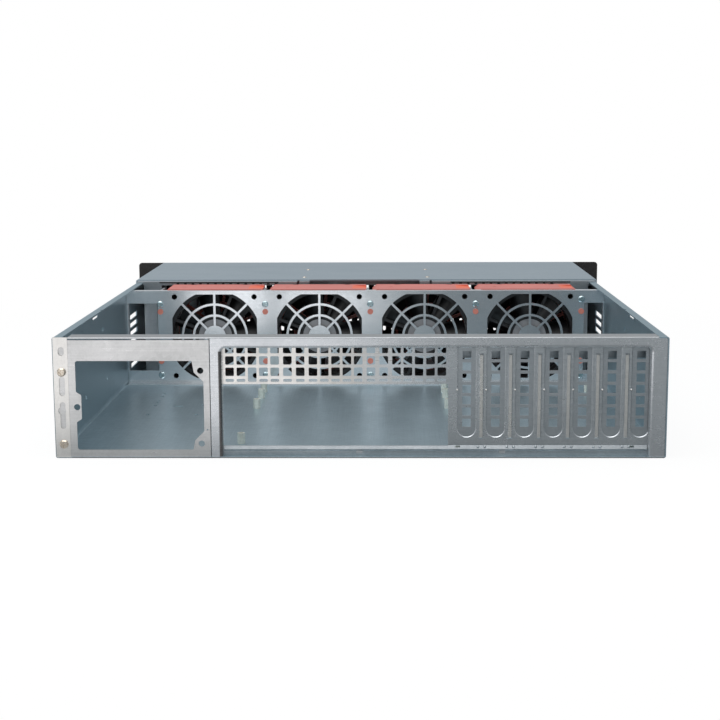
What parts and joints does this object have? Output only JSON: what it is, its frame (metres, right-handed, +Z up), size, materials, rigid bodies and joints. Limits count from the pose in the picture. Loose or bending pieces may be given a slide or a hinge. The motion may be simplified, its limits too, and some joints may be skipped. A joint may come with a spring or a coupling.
{
  "type": "rackmount server case",
  "caption": "Empty low rackmount server case with open rear bay: folded steel tray, I/O and slot panel, fan wall with fans in plastic carriers, fixed front cover and rack panel.",
  "frame": {"origin": "middle of the overall footprint, on the underside of the floor", "axes": "+X to the right as seen from the rear, +Y from the rear face towards the rack panel, +Z up"},
  "size_m": [0.4826, 0.5296, 0.0886],
  "materials": {
    "galvanised_steel": "satin zinc coat",
    "plated_screw": "bright zinc plate",
    "plated_brass": "nickel plate",
    "carrier_plastic": "smooth moulded",
    "fan_plastic": "satin moulded",
    "black_panel": "fine texture powder coat",
    "seal_rubber": "moulded, matt",
    "button_plastic": "gloss",
    "lamp_plastic": "clear gloss"
  },
  "bodies": {
    "case": {"base_tray": "galvanised_steel", "rear_frame": "galvanised_steel", "io_slot_panel": "galvanised_steel", "slot_cover_1": "galvanised_steel", "slot_cover_2": "galvanised_steel", "slot_cover_3": "galvanised_steel", "slot_cover_4": "galvanised_steel", "slot_cover_5": "galvanised_steel", "slot_cover_6": "galvanised_steel", "slot_cover_7": "galvanised_steel", "slot_rail": "galvanised_steel", "slot_cover_screws": "plated_screw", "psu_plate": "galvanised_steel", "psu_plate_screws": "plated_screw", "motherboard_standoffs": "plated_brass", "fan_wall": "galvanised_steel", "fan_wall_screws": "plated_screw", "guide_pegs": "carrier_plastic", "carrier_guide_1": "galvanised_steel", "carrier_guide_2": "galvanised_steel", "carrier_guide_3": "galvanised_steel", "carrier_guide_4": "galvanised_steel", "carrier_guide_5": "galvanised_steel", "fan_carrier_1": "carrier_plastic", "fan_frame_1": "fan_plastic", "fan_carrier_2": "carrier_plastic", "fan_frame_2": "fan_plastic", "fan_carrier_3": "carrier_plastic", "fan_frame_3": "fan_plastic", "fan_carrier_4": "carrier_plastic", "fan_frame_4": "fan_plastic", "drive_bulkhead": "galvanised_steel", "lid_seal_left": "seal_rubber", "lid_seal_right": "seal_rubber", "front_cover": "galvanised_steel", "cover_brace_left": "galvanised_steel", "cover_brace_right": "galvanised_steel", "cover_rivets": "plated_screw", "front_panel": "black_panel", "front_panel_screws": "plated_screw", "indicator_lamps": "lamp_plastic", "control_bracket": "galvanised_steel"},
    "fan_1": {"fan_rotor_1": "fan_plastic"},
    "fan_2": {"fan_rotor_2": "fan_plastic"},
    "fan_3": {"fan_rotor_3": "fan_plastic"},
    "fan_4": {"fan_rotor_4": "fan_plastic"},
    "power_button": {"power_button": "button_plastic"},
    "reset_button": {"reset_button": "button_plastic"}
  },
  "joints": [
    {"name": "fan_1_spin", "type": "hinge", "parent": "case", "child": "fan_1", "pos_m": [-0.13479, 0.0495, 0.044], "axis": [0, 1, 0], "continuous": true},
    {"name": "fan_2_spin", "type": "hinge", "parent": "case", "child": "fan_2", "pos_m": [-0.04066, 0.0495, 0.044], "axis": [0, 1, 0], "continuous": true},
    {"name": "fan_3_spin", "type": "hinge", "parent": "case", "child": "fan_3", "pos_m": [0.05346, 0.0495, 0.044], "axis": [0, 1, 0], "continuous": true},
    {"name": "fan_4_spin", "type": "hinge", "parent": "case", "child": "fan_4", "pos_m": [0.1476, 0.0495, 0.044], "axis": [0, 1, 0], "continuous": true},
    {"name": "power_button_press", "type": "slide", "parent": "case", "child": "power_button", "axis": [0, -1, 0], "range_m": [0, 0.0012], "stiffness_N_per_m": 800},
    {"name": "reset_button_press", "type": "slide", "parent": "case", "child": "reset_button", "axis": [0, -1, 0], "range_m": [0, 0.0012], "stiffness_N_per_m": 800}
  ]
}
